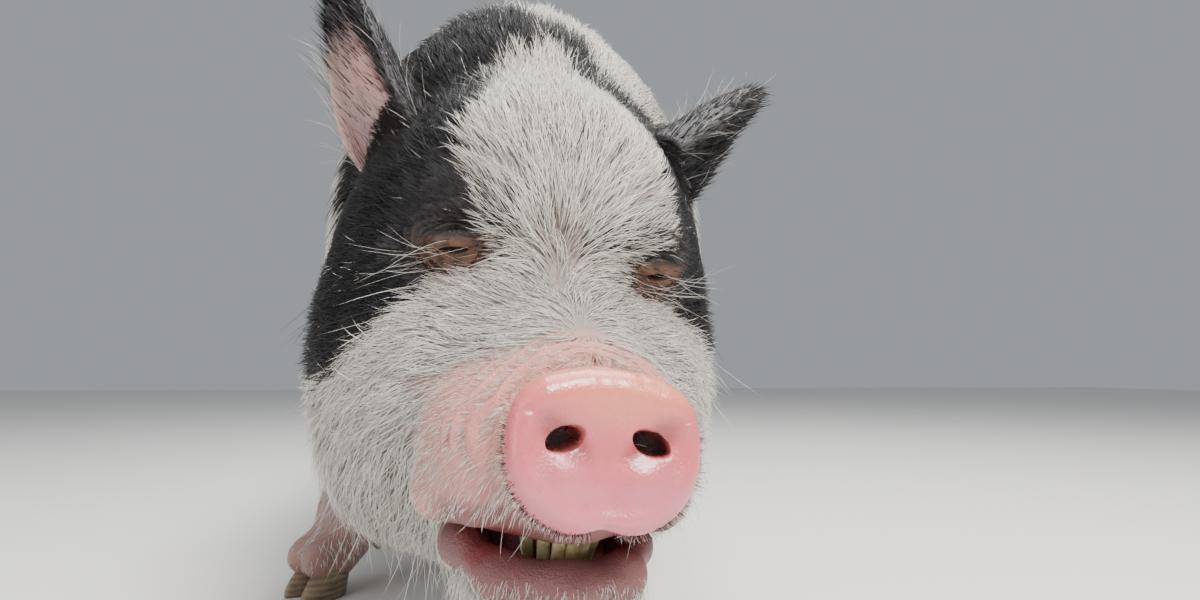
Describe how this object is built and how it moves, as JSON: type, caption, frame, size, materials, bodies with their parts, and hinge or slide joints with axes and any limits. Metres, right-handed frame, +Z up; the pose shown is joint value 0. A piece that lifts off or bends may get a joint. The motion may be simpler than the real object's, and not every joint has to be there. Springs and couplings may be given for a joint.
{
  "type": "pot bellied pig",
  "caption": "Life-size standing pot-bellied pig with head held low, black and white bristly coat and pink snout disc.",
  "frame": {"origin": "middle of the floor under the whole animal", "axes": "+Z up, +Y towards the tail along the body, +X towards the pig's left side"},
  "size_m": [0.4266, 1.1366, 0.5358],
  "materials": {
    "coat_white": "bristly white coat over pink skin",
    "coat_black": "bristly black coat",
    "coat_mixed": "bristly coat, white with black patches",
    "leg_skin": "thin white hair over pink skin",
    "pink_skin": "pink skin with sparse white hair",
    "snout_skin": "moist pink bare skin",
    "eye": "wet dark brown",
    "horn": "dull yellow-brown horn"
  },
  "bodies": {
    "root": {"head": "coat_mixed", "jaw": "pink_skin", "snout_disc": "snout_skin", "eye_left": "eye", "eye_right": "eye", "ear_left": "coat_black", "ear_right": "coat_black", "neck": "coat_white", "torso": "coat_mixed", "tail": "coat_black", "foreleg_left": "leg_skin", "foreleg_right": "leg_skin", "hindleg_left": "leg_skin", "hindleg_right": "leg_skin", "fore_left_claw_left": "horn", "fore_left_claw_right": "horn", "fore_left_dewclaw_left": "horn", "fore_left_dewclaw_right": "horn", "fore_right_claw_left": "horn", "fore_right_claw_right": "horn", "fore_right_dewclaw_left": "horn", "fore_right_dewclaw_right": "horn", "hind_left_claw_left": "horn", "hind_left_claw_right": "horn", "hind_left_dewclaw_left": "horn", "hind_left_dewclaw_right": "horn", "hind_right_claw_left": "horn", "hind_right_claw_right": "horn", "hind_right_dewclaw_left": "horn", "hind_right_dewclaw_right": "horn"}
  },
  "joints": []
}
